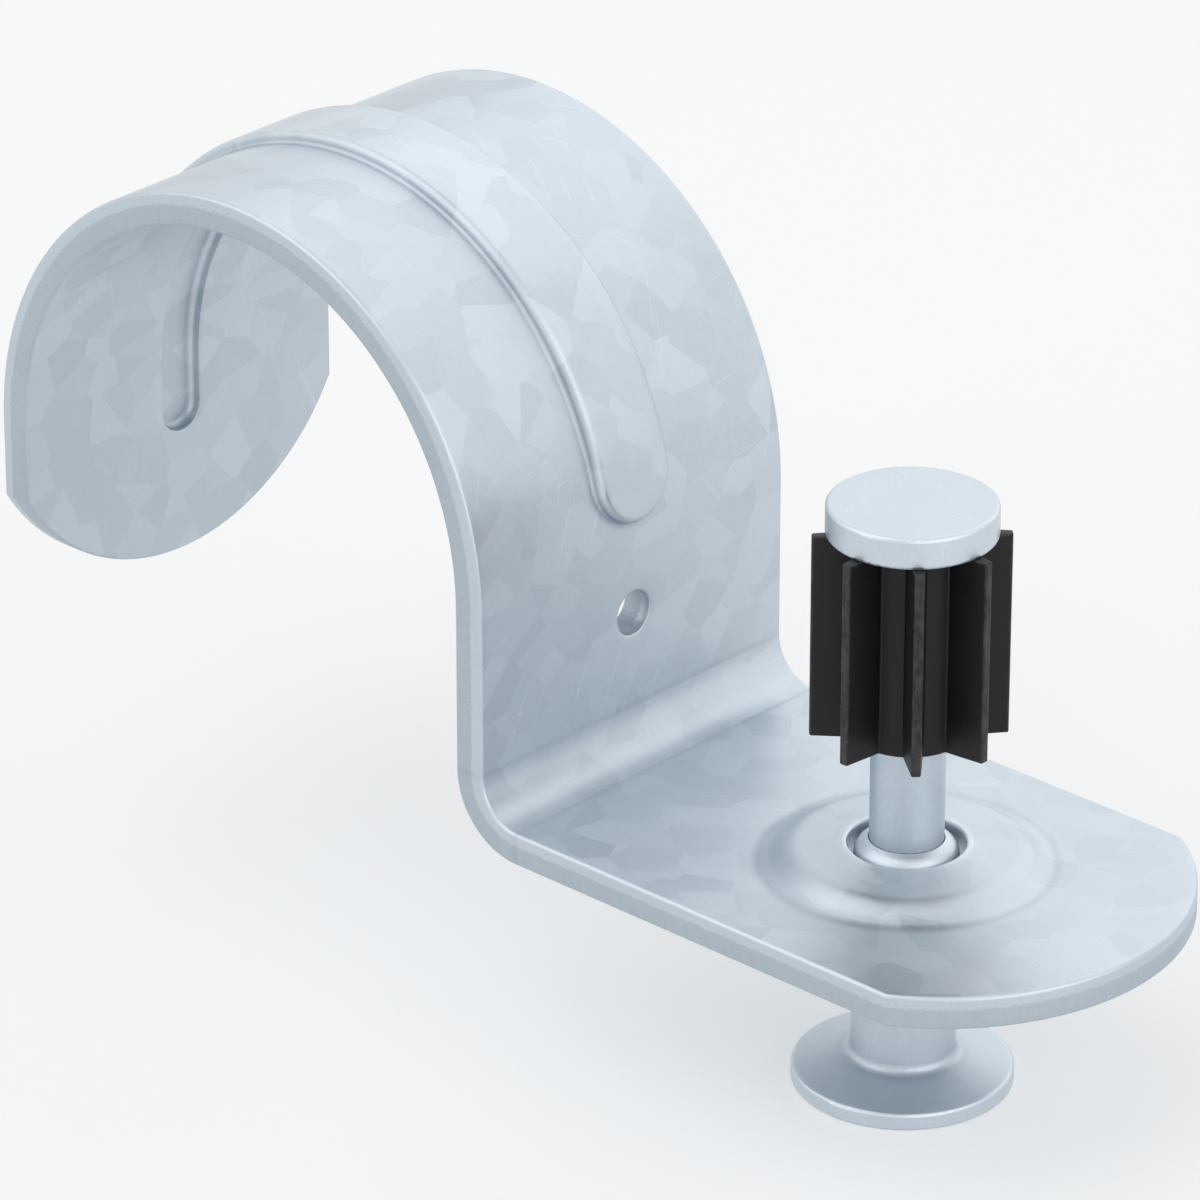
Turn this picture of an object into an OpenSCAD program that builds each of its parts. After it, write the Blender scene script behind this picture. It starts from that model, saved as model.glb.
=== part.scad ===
// One-hole conduit clip with its drive pin already fitted.
// A strap bent from one strip of galvanised sheet goes over the conduit. A thimble stands in the
// hole of its tab, and a drive pin with a fluted guide sleeve stands in the thimble.
// The origin is the centre of the conduit seat, +Y runs along the conduit, +X goes to the tab,
// and +Z goes away from the wall.

/* [Conduit seat] */
// Inside radius of the arch that holds the conduit
seat_r = 14.8; // [12:0.1:18]
// How much wider than the seat the arch's last turn into the neck is, so that the conduit goes in freely
neck_ease = 0.5; // [0.3:0.1:2]

/* [Strap] */
// Thickness of the sheet
sheet_t = 1.7; // [1.2:0.1:2]
// Width of the strap along the conduit
strap_w = 21.6; // [18:0.1:23]
// Radius on the strap's cut edges
edge_r = 0.2; // [0.1:0.05:0.4]
// Height from the seat's centre down to the end of the free leg
leg_drop = 10.25; // [9:0.05:16]
// Radius of the round ends of the free leg and of the tab
end_r = 12.5; // [12:0.1:15]
// Height from the seat's centre down to the top of the tab
tab_drop = 10.8; // [9:0.1:14]
// Inside radius of the bend between the neck and the tab
bend_r = 2.2; // [1.5:0.1:3]
// Distance from the neck's outer face to the pin's axis
pin_reach = 17.63; // [14:0.01:22]
// Distance from the pin's axis to the end of the tab
end_reach = 14.25; // [12:0.05:20]
// Radius of the small hole in the neck
pilot_r = 1.15; // [0.8:0.05:1.5]
// Height from the seat's centre down to the small hole in the neck
pilot_drop = 3.6; // [2:0.1:5]

/* [Stiffening bead] */
// Width of the bead over its flanks
bead_w = 4.9; // [4.4:0.1:8]
// Height of the bead above the outside of the strap, and its depth on the inside
bead_rise = 0.6; // [0.5:0.05:1]
// Radius along the bead's crest
crest_r = 0.4; // [0.2:0.05:0.45]
// Radius at the foot of the bead
foot_r = 0.2; // [0.1:0.05:0.4]
// Width of the flat bottom of the groove inside the bead
groove_w = 1.9; // [1:0.1:2.4]
// Height above the seat's centre of the centre of the bead's round end on the neck
bead_neck_rise = 3.8; // [3:0.1:8]
// Height below the seat's centre of the centre of the bead's round end on the free leg
bead_leg_drop = 2.3; // [1:0.1:4]

/* [Collar of the tab] */
// Radius of the foot of the raised collar round the tab's hole
collar_r = 7.2; // [6.6:0.1:8]
// Radius at which the collar's steep flank ends
collar_top_r = 5.3; // [4.6:0.1:5.8]
// Height of the collar's flank
collar_rise = 0.75; // [0.4:0.05:1]
// Further height from there to the rim of the hole
rim_rise = 0.3; // [0.1:0.05:0.5]

/* [Thimble] */
// Wall of the barrel and the crown
thimble_t = 0.6; // [0.4:0.05:0.7]
// Height from the brim's underside to the crown's top
thimble_h = 13.1; // [11:0.1:18]
// Radius of the crown's shoulder
crown_r = 1; // [0.8:0.05:1.3]
// Radius of the brim
brim_r = 5.4; // [4.8:0.1:7]
// Thickness of the brim at its edge
brim_t = 0.9; // [0.6:0.05:1.4]
// Slope of the brim's top
brim_slope = 12.8; // [0:0.1:20]
// Radius between the barrel and the brim
brim_fillet_r = 0.55; // [0.2:0.05:1]
// Radius on the brim's edge
rim_edge_r = 0.2; // [0.05:0.05:0.25]
// Height by which the crown stands above the rim of the tab's hole
crown_proud = 0.25; // [0:0.05:1]

/* [Drive pin] */
// Radius of the shank
shank_r = 1.8; // [1.6:0.05:1.9]
// Length of the pin under its head
pin_len = 27; // [22:0.5:32]
// Length of the pin's point
point_len = 6; // [4:0.5:8]
// Radius of the blunt end of the point
point_r = 0.2; // [0.1:0.05:0.4]
// Radius of the head
head_r = 4.1; // [3.6:0.05:4.5]
// Thickness of the head
head_t = 1.6; // [1.2:0.1:2.4]
// Radius on the head's edges
head_edge_r = 0.2; // [0.05:0.05:0.4]
// Height of the head's underside above the thimble's crown
pin_stand = 15.9; // [14:0.1:20]

/* [Guide sleeve] */
// Length of the fluted sleeve
sleeve_len = 10.4; // [8:0.1:12]
// Wall of the sleeve's core
sleeve_t = 0.9; // [0.6:0.05:1.2]
// Number of flutes round the sleeve
fin_count = 8; // [6:1:10]
// Depth of the flutes outside the core
fin_depth = 2; // [1.5:0.1:2.4]
// Width of a flute where it leaves the core
fin_root_w = 0.95; // [0.7:0.05:1.2]
// Width of a flute at its tip
fin_tip_w = 0.45; // [0.3:0.05:0.7]
// Chamfer on the ends of the flutes
fin_chamfer = 0.2; // [0.05:0.05:0.4]

/* [Clearances] */
// Radial clearance between the thimble's barrel and the tab's hole
barrel_clear = 0.3; // [0.1:0.05:0.4]
// Radial clearance between the pin and the bore of the thimble's barrel
bore_clear = 0.15; // [0.1:0.05:0.3]
// Radial clearance between the pin and the crown's hole
pin_clear = 0.05; // [0.02:0.01:0.1]
// Radial clearance between the pin and its sleeve
sleeve_clear = 0.02; // [0.01:0.01:0.05]

/* [Hidden] */
$fn = 128;
overlap = 0.4;
curve_steps = 16;
// How far a cut goes past what it cuts, in millimetres or degrees
past = 1;
// How far the full width of a strip runs on inside its round end
end_overlap = 0.1;
// The bead's end on the neck is this much smaller than the bead, and starts this far inside it
end_share = 0.99;
end_start = 0.05;
tangent_share = 0.95;
// Share of the lip's radius at which it gives way to a straight wall, through the sheet's inside
wall_share = 0.9;
outer_r = seat_r + sheet_t;
half_w = strap_w / 2;
// Distance from the centre of a round end to the line where the sheet keeps its full width
end_flat = sqrt(pow(end_r - edge_r, 2) - pow(half_w - edge_r, 2));
// The wider turn begins where these are the sine and the cosine of the angle above the seat's centre
ease_sin = 0.28;
ease_cos = 0.96;
ease_a = asin(ease_sin);
// Inside of the neck, and the top of its straight part
neck_x = seat_r + neck_ease * (1 - ease_cos);
neck_top_z = -neck_ease * ease_sin;
tab_start = neck_x + sheet_t + bend_r;
pin_x = neck_x + sheet_t + pin_reach;
// Centres of the round ends, from the start of their flat lengths
leg_end_x = leg_drop - end_r;
tab_end_x = pin_x + end_reach - end_r - tab_start;
// The bead's line and the tilt of its end on the neck, which follows the arch's chord
bead_a = asin(bead_neck_rise / outer_r);
bead_tilt = asin(bead_w / 4 / outer_r);
lip_r = bead_rise / tangent_share;
bore_r = shank_r + bore_clear;
barrel_r = bore_r + thimble_t;
hole_r = barrel_r + barrel_clear;
rim_z = -tab_drop + collar_rise + rim_rise;
crown_z = rim_z + crown_proud;
brim_z = crown_z - thimble_h;
core_r = shank_r + sleeve_clear + sleeve_t;
fin_r = core_r + fin_depth;
head_z = crown_z + pin_stand;
core_overlap = 0.3;

STEEL = [0.80, 0.845, 0.88];
PIN_STEEL = [0.76, 0.80, 0.83];
BLACK = [0.13, 0.115, 0.13];

// Strip with rounded corners: w along X from 0, and h along Y about 0
module rounded_strip(w, h, r) {
    translate([0, -h / 2 + r]) square([w, h - 2 * r]);
    translate([r, -h / 2]) square([w - 2 * r, h]);
    for (x = [r, w - r], side = [-1, 1]) translate([x, side * (h / 2 - r)]) circle(r);
}

// Keeps the half of a section that lies at X above 0
module half_section(reach) {
    intersection() {
        children();
        translate([0, -reach]) square([reach, 2 * reach]);
    }
}

// Section across the sheet: its thickness along X and its width along Y
module sheet_section() {
    rounded_strip(sheet_t, strap_w, edge_r);
}

// Round plate with the strap's thickness and edges, from Z 0 downwards
module end_plate() {
    translate([0, 0, -sheet_t]) rotate_extrude() {
        half_section(end_r + past) rotate(90)
            rounded_strip(sheet_t, 2 * end_r, edge_r);
    }
}

// Flat length of the strap along X from 0, with a round end whose centre is at X end_x
module round_ended_strip(end_x) {
    intersection() {
        rotate([0, 90, 0]) linear_extrude(end_x + end_r) sheet_section();
        union() {
            translate([end_x, 0, 0]) end_plate();
            translate([-past, -strap_w, -sheet_t - past])
                cube([end_x + end_flat - end_overlap + past, 2 * strap_w, sheet_t + 2 * past]);
        }
    }
}

// Turn of the strap about the Y axis, from angle a over sweep degrees
module bent_strip(inner_r, a, sweep) {
    rotate([90, 0, 0]) rotate([0, 0, a]) rotate_extrude(angle = sweep)
        translate([inner_r, 0]) sheet_section();
}

// Section of the bead above the sheet's outside, across it along X
module bead_section() {
    flank = bead_w / 2;
    translate([-flank, -overlap]) square([bead_w, overlap + bead_rise - crest_r]);
    translate([-flank + crest_r, -overlap])
        square([bead_w - 2 * crest_r, overlap + bead_rise]);
    for (side = [-1, 1]) {
        translate([side * (flank - crest_r), bead_rise - crest_r]) circle(crest_r);
        mirror([side < 0 ? 1 : 0, 0]) difference() {
            translate([flank - foot_r, -overlap])
                square([2 * foot_r, overlap + foot_r * tangent_share]);
            translate([flank + foot_r, foot_r * tangent_share]) circle(foot_r);
        }
    }
}

// Section of the groove inside the bead, with rounded lips, across it along X
module groove_section() {
    floor_half = groove_w / 2;
    lip_x = floor_half + lip_r;
    translate([-floor_half, -overlap]) square([groove_w, overlap + bead_rise]);
    for (side = [0, 1]) mirror([side, 0]) difference() {
        translate([0, -overlap]) square([lip_x, overlap + bead_rise]);
        translate([lip_x, bead_rise]) circle(lip_r);
        translate([lip_x - lip_r * sqrt(1 - pow(wall_share, 2)), -past])
            square([lip_r, past + bead_rise - lip_r * wall_share]);
    }
}

// Half turn of a section, which closes the bead's end
module round_end() {
    rotate_extrude(angle = 180) half_section(bead_w) children();
}

// Carries a section over the arch, from the bead's end on the neck to the leg and some degrees past it
module over_arch(r, more = 0) {
    rotate([90, 0, 0]) rotate([0, 0, bead_a]) rotate_extrude(angle = 180 - bead_a + more)
        translate([r, 0]) rotate(-90) children();
}

// Carries a section down the free leg to its round end, from the arch or from some way above it
module down_leg(r, more = 0) {
    translate([-r, 0, -bead_leg_drop]) {
        linear_extrude(bead_leg_drop + more) rotate(90) children();
        rotate([0, -90, 0]) rotate([0, 0, 90]) round_end() children();
    }
}

// Takes the end of a section from flat on the plane Z 0 to the bead's end on the neck
module neck_end(r, tilt) {
    rotate([0, -bead_a, 0]) translate([r + bead_rise, 0, 0]) rotate([0, 90 + tilt, 0])
        translate([0, 0, -bead_rise]) rotate([0, 0, -90]) children();
}

// Height of the collar above the tab at radius r
function collar_height(r) =
    let (
        flank = min(1, (collar_r - r) / (collar_r - collar_top_r)),
        inward = (collar_r - r) / (collar_r - hole_r)
    )
    collar_rise * flank * flank * (3 - 2 * flank) + rim_rise * inward * inward;

// Raised collar of the tab, with the hole for the thimble
module collar() {
    radii = [for (i = [0:curve_steps]) hole_r + (collar_r - hole_r) * i / curve_steps];
    top = [for (r = radii) [r, collar_height(r)]];
    rim = [
        [hole_r, top[0].y - edge_r],
        [hole_r + edge_r * (1 - cos(45)), top[0].y - edge_r * (1 - sin(45))],
        [hole_r + edge_r, top[0].y]
    ];
    upper = [for (p = top) if (p.x > hole_r + edge_r) p];
    under = [for (i = [curve_steps:-1:0]) [top[i].x, top[i].y - sheet_t]];
    rotate_extrude() polygon(concat(rim, upper, under));
}

module tab() {
    translate([tab_start, 0, -tab_drop]) difference() {
        round_ended_strip(tab_end_x);
        translate([pin_x - tab_start, 0, -sheet_t - past])
            cylinder(h = sheet_t + 2 * past, r = collar_r);
    }
    translate([pin_x, 0, -tab_drop]) collar();
}

// Free leg with its part of the bead
module free_leg() {
    difference() {
        union() {
            translate([-seat_r, 0, 0]) rotate([0, 90, 0]) round_ended_strip(leg_end_x);
            down_leg(outer_r) bead_section();
        }
        down_leg(seat_r, past) groove_section();
    }
}

// Space on the neck's side of the line where the arch's wider turn begins
module neck_side() {
    reach = 2 * outer_r;
    rotate([0, -ease_a, 0]) translate([0, -reach, -reach]) cube([reach, 2 * reach, reach]);
}

// Strip of the arch, with the wider turn on its neck's side
module arch_strip() {
    difference() {
        bent_strip(seat_r, 0, 180);
        neck_side();
    }
    intersection() {
        translate([-neck_ease * ease_cos, 0, neck_top_z])
            bent_strip(seat_r + neck_ease, 0, 90);
        neck_side();
    }
}

// Arch with its part of the bead
module arch() {
    difference() {
        union() {
            arch_strip();
            over_arch(outer_r) bead_section();
            neck_end(outer_r, bead_tilt) scale(end_share) {
                round_end() bead_section();
                rotate([90, 0, 0]) linear_extrude(end_start) bead_section();
            }
        }
        over_arch(seat_r, past) groove_section();
        neck_end(seat_r, 0) round_end() groove_section();
    }
}

module neck() {
    straight = tab_drop - bend_r;
    translate([neck_x, 0, -straight])
        linear_extrude(straight + neck_top_z) sheet_section();
    translate([tab_start, 0, -straight]) bent_strip(bend_r, 180, 90);
}

module strap() {
    color(STEEL) difference() {
        union() {
            arch();
            free_leg();
            neck();
            tab();
        }
        translate([neck_x - past, 0, -pilot_drop]) rotate([0, 90, 0])
            cylinder(h = sheet_t + 2 * past, r = pilot_r);
    }
}

// Height of the brim's top above its underside at radius r
function brim_top(r) = brim_t + (brim_r - r) * tan(brim_slope);

// Brim with rounded edges, and the fillet up to the barrel
module brim_section() {
    edge_x = brim_r - rim_edge_r;
    edge_y = brim_top(edge_x) - rim_edge_r / cos(brim_slope);
    fillet_x = barrel_r + brim_fillet_r;
    fillet_y = brim_top(fillet_x) + brim_fillet_r / cos(brim_slope);
    polygon([
        [0, 0],
        [edge_x, 0],
        [brim_r, rim_edge_r],
        [brim_r, edge_y],
        [edge_x + rim_edge_r * sin(brim_slope), edge_y + rim_edge_r * cos(brim_slope)],
        [0, brim_top(0)]
    ]);
    translate([edge_x, rim_edge_r]) circle(rim_edge_r);
    translate([edge_x, edge_y]) circle(rim_edge_r);
    difference() {
        polygon([
            [0, brim_t],
            [fillet_x - brim_fillet_r * sin(brim_slope), fillet_y - brim_fillet_r * cos(brim_slope)],
            [fillet_x, fillet_y],
            [0, fillet_y]
        ]);
        translate([fillet_x, fillet_y]) circle(brim_fillet_r);
    }
}

module thimble() {
    inner_crown_r = crown_r - thimble_t;
    inner_h = thimble_h - thimble_t;
    color(STEEL) translate([pin_x, 0, brim_z]) rotate_extrude() difference() {
        union() {
            brim_section();
            square([barrel_r, thimble_h - crown_r]);
            square([barrel_r - crown_r, thimble_h]);
            translate([barrel_r - crown_r, thimble_h - crown_r]) circle(crown_r);
        }
        translate([0, -past]) square([shank_r + pin_clear, thimble_h + 2 * past]);
        translate([0, -past]) square([bore_r, inner_h - inner_crown_r + past]);
        translate([bore_r - inner_crown_r, inner_h - inner_crown_r]) circle(inner_crown_r);
    }
}

// Section of the pin's point, from its blunt end at Y 0 up to the shank
module point_section() {
    round_r = (point_len * point_len + pow(shank_r - point_r, 2)) / 2 / (shank_r - point_r);
    side = [for (i = [0:curve_steps])
        let (y = point_len * i / curve_steps)
        [shank_r - round_r + sqrt(pow(round_r, 2) - pow(point_len - y, 2)), y]
    ];
    polygon(concat([[0, 0]], side, [[0, point_len]]));
}

module drive_pin() {
    color(PIN_STEEL) translate([pin_x, 0, head_z]) {
        rotate_extrude() half_section(head_r + past) rotate(90)
            rounded_strip(head_t, 2 * head_r, head_edge_r);
        translate([0, 0, -pin_len]) rotate_extrude() {
            point_section();
            translate([0, point_len]) square([shank_r, pin_len - point_len + head_t / 2]);
        }
    }
}

module fin_section() {
    polygon([
        [core_r - core_overlap, -fin_root_w / 2],
        [core_r, -fin_root_w / 2],
        [fin_r, -fin_tip_w / 2],
        [fin_r, fin_tip_w / 2],
        [core_r, fin_root_w / 2],
        [core_r - core_overlap, fin_root_w / 2]
    ]);
}

module guide_sleeve() {
    color(BLACK) translate([pin_x, 0, head_z - sleeve_len]) intersection() {
        linear_extrude(sleeve_len) difference() {
            union() {
                circle(core_r);
                for (i = [0:fin_count - 1]) rotate(i * 360 / fin_count) fin_section();
            }
            circle(shank_r + sleeve_clear);
        }
        rotate_extrude() polygon([
            [0, 0],
            [fin_r - fin_chamfer, 0],
            [fin_r, fin_chamfer],
            [fin_r, sleeve_len - fin_chamfer],
            [fin_r - fin_chamfer, sleeve_len],
            [0, sleeve_len]
        ]);
    }
}

strap();
thimble();
drive_pin();
guide_sleeve();
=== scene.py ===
"""Looks of a conduit clip: its pressed strap, its moulded sleeve, its metal finishes and its stage.

The strap is cut flat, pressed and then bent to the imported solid's shape, so that its grain follows the
sheet. The sleeve is a moulding with rounded flutes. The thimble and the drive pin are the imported
solids with better finishes. Meshes are shaped in millimetres and end in metres, in the solids' frame.
"""

import math
from types import SimpleNamespace

import bmesh
import bpy
from bpy.props import FloatProperty, FloatVectorProperty, IntProperty, PointerProperty
from mathutils import Matrix, Vector


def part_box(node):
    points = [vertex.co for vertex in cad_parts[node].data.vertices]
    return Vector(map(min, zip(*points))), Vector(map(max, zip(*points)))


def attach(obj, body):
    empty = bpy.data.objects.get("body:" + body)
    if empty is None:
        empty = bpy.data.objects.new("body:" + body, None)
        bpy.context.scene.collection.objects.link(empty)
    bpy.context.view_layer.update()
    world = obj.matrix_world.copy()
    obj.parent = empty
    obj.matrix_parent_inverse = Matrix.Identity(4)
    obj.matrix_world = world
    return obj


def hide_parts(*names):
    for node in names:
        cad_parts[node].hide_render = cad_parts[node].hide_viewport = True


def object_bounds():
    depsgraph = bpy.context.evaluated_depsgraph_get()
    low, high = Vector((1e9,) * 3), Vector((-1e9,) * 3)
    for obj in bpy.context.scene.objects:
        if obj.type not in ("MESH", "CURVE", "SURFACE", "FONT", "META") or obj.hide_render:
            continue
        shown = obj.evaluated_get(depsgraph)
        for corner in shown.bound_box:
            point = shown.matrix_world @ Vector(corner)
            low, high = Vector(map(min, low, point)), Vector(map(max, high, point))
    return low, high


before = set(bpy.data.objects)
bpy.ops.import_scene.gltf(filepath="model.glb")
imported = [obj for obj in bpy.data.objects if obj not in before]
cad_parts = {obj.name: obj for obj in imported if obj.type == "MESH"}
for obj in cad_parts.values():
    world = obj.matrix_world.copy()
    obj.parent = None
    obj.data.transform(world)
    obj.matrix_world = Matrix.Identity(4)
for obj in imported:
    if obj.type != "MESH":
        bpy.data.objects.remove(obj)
CAD_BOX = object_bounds()

bl_info = {
    "name": "Conduit clip looks",
    "version": (1, 1, 0),
    "blender": (4, 5, 0),
    "location": "View3D > Sidebar > Clip",
    "description": "Pressed strap, moulded sleeve and metal finishes for a conduit clip with a drive pin",
    "category": "Object",
}

MM = 1000.0
STRAP_LOW, STRAP_HIGH = (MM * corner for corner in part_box("strap"))
THIMBLE_LOW, THIMBLE_HIGH = (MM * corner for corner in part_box("thimble"))
PIN_LOW, PIN_HIGH = (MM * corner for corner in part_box("drive_pin"))
SLEEVE_LOW, SLEEVE_HIGH = (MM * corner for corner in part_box("guide_sleeve"))
PIN_X = (SLEEVE_LOW.x + SLEEVE_HIGH.x) / 2
SEEN_RAYS = ("Camera", "Glossy", "Transmission")
# Sizes of the thimble's solid in millimetres: the brim's rise to the barrel, and two radii
BRIM_RISE = 1.5
BARREL_RADIUS = 2.55
BORE_RADIUS = 1.95
# Roundings of the pressed forms in millimetres
BEAD_FOOT = 0.2
GROOVE_LIP = 0.03
GROOVE_CORNER = 0.35
HOLE_RIM = 0.1
MOUTH_RIM = 0.15
# Rise of the collar's inner slope in millimetres
COLLAR_SLOPE = 0.3
# Flat borders beside the pressed forms in millimetres, which keep the faces' shading flat
BORDER = 0.4
CREST_BORDER = 0.65
GROOVE_FLOOR = (0.95, 0.7, 0)
HOLE_BORDER = 0.45
COLLAR_BORDER = 0.3
# Steps round the strap's ends, the bead's ends, the collar and the small hole
END_STEPS = 48
BEAD_STEPS = 32
COLLAR_STEPS = 96
HOLE_STEPS = 32
# How many times the bend, the arch's wider turn and the arch are scored
SCORES = (20, 8, 82)
# Fineness of the draw lines round the axis and along it, and of the rings
DRAW_ROUND = 11
DRAW_ALONG = 0.12
RINGS = 5
# Each lamp's place and size, the place that the lamps look at and the floor's gap, in metres
LAMPS = {
    "key": ((-0.22, -0.38, 0.5), 0.8),
    "side": ((0.6, -0.05, 0.22), 0.7),
    "back": ((-0.1, 0.55, 0.35), 0.7),
}
LAMP_AIM = (0.015, 0, -0.002)
FLOOR_GAP = 0.00002


def length(name, description, default, low, high):
    """A length that a user may change, given in millimetres."""
    return FloatProperty(
        name=name,
        description=description,
        subtype="DISTANCE",
        unit="LENGTH",
        default=default / MM,
        min=low / MM,
        max=high / MM,
    )


def share(name, description, default, low=0.0, high=1.0):
    """A share that a user may change, from 0 to 1 unless it is given narrower limits."""
    return FloatProperty(
        name=name, description=description, subtype="FACTOR", default=default, min=low, max=high
    )


def watts(name, description, default):
    """A lamp's power that a user may change."""
    return FloatProperty(name=name, description=description, unit="POWER", default=default, min=0)


def colour(name, description, default):
    """A colour that a user may change."""
    return FloatVectorProperty(
        name=name, description=description, subtype="COLOR", size=3, default=default, min=0.0, max=1.0
    )


class StrapShape(bpy.types.PropertyGroup):
    """Sizes of the pressed and bent sheet."""

    sheet: length("Sheet", "Thickness of the sheet", 1.7, 1.0, 3.0)
    edge: length("Edge rounding", "Rounding of the sheared edges' rims", 0.2, 0.05, 0.5)
    seat: length("Seat radius", "Inside radius of the arch", -STRAP_LOW.x - 2.3, 10.0, 20.0)
    ease: length("Ease", "How much wider the arch's turn is beside the neck", 0.5, 0.1, 2.0)
    ease_turn: FloatProperty(
        name="Ease turn",
        description="Angle of the arch's wider turn",
        subtype="ANGLE",
        unit="ROTATION",
        default=math.asin(0.28),
        min=0.05,
        max=0.6,
    )
    bend: length("Bend radius", "Inside radius of the bend between neck and tab", 2.2, 1.0, 4.0)
    end_radius: length("End radius", "Radius of the strap's two ends", 12.5, 11.0, 16.0)
    leg_end: length("Leg below axis", "How far the free leg reaches below the arch's axis", 10.25, 6.0, 14.0)
    bead_half: length("Bead half width", "Half of the bead's width at its side walls", 2.45, 1.5, 4.0)
    bead_rise: length("Bead rise", "Rise of the bead over the sheet", 0.6, 0.3, 1.2)
    bead_corner: length("Bead corner", "Rounding along the bead's crest", 0.39, 0.1, 0.6)
    groove_half: length("Groove half width", "Half of the groove's width under the bead", 1.306, 0.8, 2.0)
    bead_neck: length("Bead's neck end", "From the neck's flat to the bead's round end", 3.9765, 1.0, 8.0)
    bead_leg: length("Bead's leg end", "From the arch's axis to the bead's round end", 2.3, 0.0, 6.0)
    collar_radius: length("Collar radius", "Radius of the drawn collar at its foot", 7.2, 5.0, 9.0)
    collar_rise: length("Collar rise", "Rise of the collar's mouth over the tab", 1.05, 0.5, 2.0)
    collar_flank: length("Collar flank", "Width of the collar's steep foot", 1.9, 1.0, 3.0)
    hole_radius: length("Hole radius", "Radius of the hole that the thimble fills", 2.85, 2.0, 4.0)
    neck_hole_radius: length("Neck hole radius", "Radius of the small hole in the neck", 1.15, 0.5, 2.0)
    neck_hole_drop: length("Neck hole drop", "From the arch's axis down to the neck's hole", 3.6, 2.0, 6.0)


class ZincLook(bpy.types.PropertyGroup):
    """Colours and roughness of the zinc on the strap, the thimble and the pin."""

    light: colour("Light zinc", "Brightest tone of the zinc", (0.77, 0.845, 0.905))
    dark: colour("Dark zinc", "Darkest tone of the zinc", (0.40, 0.46, 0.52))
    roughness: share("Roughness", "Middle roughness of the metal", 0.44, 0.1, 0.9)
    metallic: share("Metallic", "Share of metal in the surface, less where the zinc is dull", 0.8)
    crystal_size: length("Crystal size", "Width of one zinc crystal on the sheet", 2.2, 0.5, 10.0)


class SleeveLook(bpy.types.PropertyGroup):
    """Shape of the sleeve's flutes and colours of its plastic."""

    plastic: colour("Plastic", "Colour of the moulded plastic", (0.0085, 0.0072, 0.0082))
    # The pale colour and its share on the flutes' edges: partly rubbed wear, partly painted edge highlights
    rubbed: colour("Rubbed edges", "Colour where the flutes have rubbed", (0.22, 0.21, 0.22))
    rub: share("Rub", "How much of the rubbed colour shows on the edges", 0.3)
    roughness: share("Roughness", "Middle roughness of the plastic", 0.42, 0.1, 0.9)
    gloss: share("Gloss", "Strength of the plastic's gloss", 0.3)
    core_radius: length("Core radius", "Radius of the sleeve between its flutes", 2.72, 2.2, 3.5)
    bore_radius: length("Bore radius", "Radius of the bore round the pin", 1.82, 1.8, 2.0)
    tip_radius: length("Tip radius", "Radius over the flutes", 4.72, 4.0, 5.0)
    root_width: length("Root width", "Width of a flute at the core", 0.95, 0.7, 1.2)
    tip_width: length("Tip width", "Width of a flute at its tip", 0.45, 0.3, 0.7)
    edge: length("Edge rounding", "Rounding on the flutes' edges", 0.08, 0.02, 0.15)
    flutes: IntProperty(
        name="Flutes", description="Number of flutes round the sleeve", min=6, max=10, default=8
    )


class StageLook(bpy.types.PropertyGroup):
    """Floor, lamps and camera."""

    floor_colour: colour("Floor", "Colour of the floor", (0.86, 0.865, 0.87))
    floor_lift: share("Floor lift", "How much paler the floor is seen than it is lit", 0.3)
    floor_size: length("Floor size", "Side of the square floor", 4000.0, 500.0, 10000.0)
    fill: share("Fill light", "Strength of the even light from all round", 0.5)
    key: watts("Key lamp", "Power of the lamp on the near side", 1.15)
    side: watts("Side lamp", "Power of the lamp on the right", 1.0)
    back: watts("Back lamp", "Power of the lamp behind the clip", 0.6)
    eye: FloatVectorProperty(
        name="Eye",
        description="Place of the camera",
        subtype="TRANSLATION",
        unit="LENGTH",
        size=3,
        default=(0.24863, -0.25266, 0.16411),
    )
    heading: FloatProperty(
        name="Heading",
        description="Camera's turn about the upright axis",
        subtype="ANGLE",
        unit="ROTATION",
        default=math.radians(42.848),
    )
    tilt: FloatProperty(
        name="Tilt",
        description="Camera's tilt down from level",
        subtype="ANGLE",
        unit="ROTATION",
        default=math.radians(25.956),
    )
    lens: FloatProperty(
        name="Lens", description="Focal length of the camera", unit="CAMERA", min=20, max=1000, default=235.9
    )


def in_mm(group):
    """The values of a property group, with its lengths in millimetres."""
    sizes = SimpleNamespace()
    for name in group.__annotations__:
        is_length = group.bl_rna.properties[name].unit == "LENGTH"
        value = getattr(group, name)
        setattr(sizes, name, value * MM if is_length else value)
    return sizes


def strap_plan(shape):
    """The strap's sizes, and its places along the flat blank, whose x is the tab's own x."""
    s = in_mm(shape)
    s.half = STRAP_HIGH.y
    s.tab_low = STRAP_LOW.z
    s.tab_centre = STRAP_HIGH.x - s.end_radius
    s.ease_radius = s.seat + s.ease
    s.ease_x = -s.ease * math.cos(s.ease_turn)
    s.ease_z = -s.ease * math.sin(s.ease_turn)
    s.neck_x = s.ease_x + s.ease_radius
    s.bend_x = s.neck_x + s.sheet + s.bend
    s.bend_z = s.tab_low + s.sheet + s.bend
    s.neck_low = s.bend_x - s.bend * math.pi / 2
    s.neck_high = s.neck_low - (s.ease_z - s.bend_z)
    s.ease_end = s.neck_high - (s.ease_radius + s.sheet) * s.ease_turn
    s.arch_end = s.ease_end - (s.seat + s.sheet) * (math.pi - s.ease_turn)
    s.leg_centre = s.arch_end - s.leg_end + s.end_radius
    s.bead_from = s.arch_end - s.bead_leg
    s.bead_to = s.neck_high - s.bead_neck
    s.neck_hole = s.neck_low + s.bend_z + s.neck_hole_drop
    return s


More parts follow.
